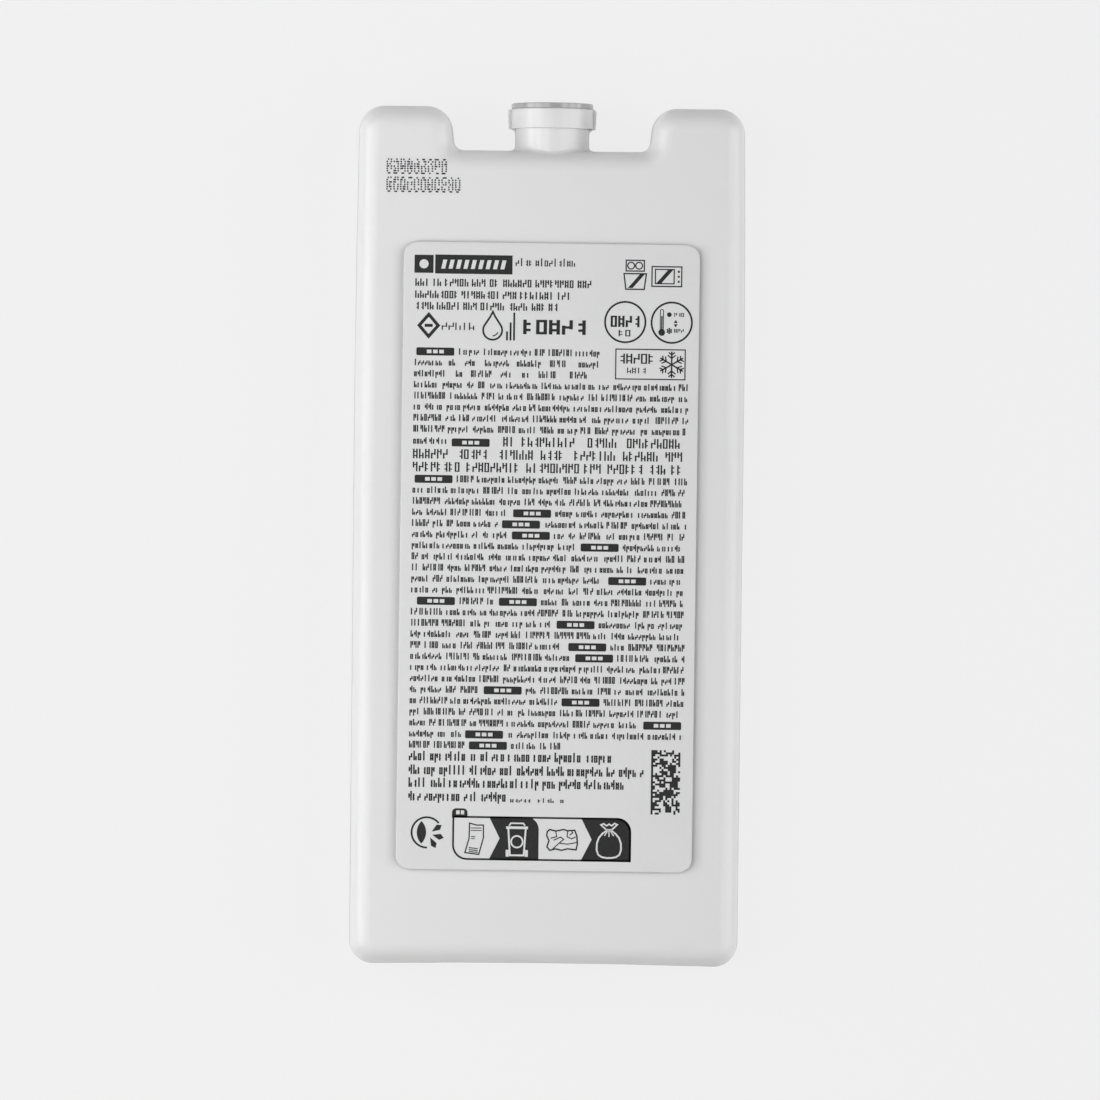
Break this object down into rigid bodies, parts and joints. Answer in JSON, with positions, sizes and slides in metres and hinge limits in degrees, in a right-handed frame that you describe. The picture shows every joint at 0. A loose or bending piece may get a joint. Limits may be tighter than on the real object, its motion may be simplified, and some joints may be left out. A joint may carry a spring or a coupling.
{
  "type": "reusable ice pack",
  "caption": "Flat sealed blow-moulded ice pack with rolled edges, two shoulders beside a short collared neck, a pressed-in plug and a label on a raised pad.",
  "frame": {"origin": "centre of the footprint on the surface that the plain back lies on", "axes": "+X across the width, +Y from the base edge to the neck, +Z out of the front face that carries the label"},
  "size_m": [0.0748, 0.1649, 0.0188],
  "materials": {
    "white_plastic": "satin",
    "grey_plastic": "satin",
    "paper_label": "matt printed"
  },
  "bodies": {
    "root": {"bottle": "white_plastic", "plug": "grey_plastic", "label": "paper_label"}
  },
  "joints": []
}
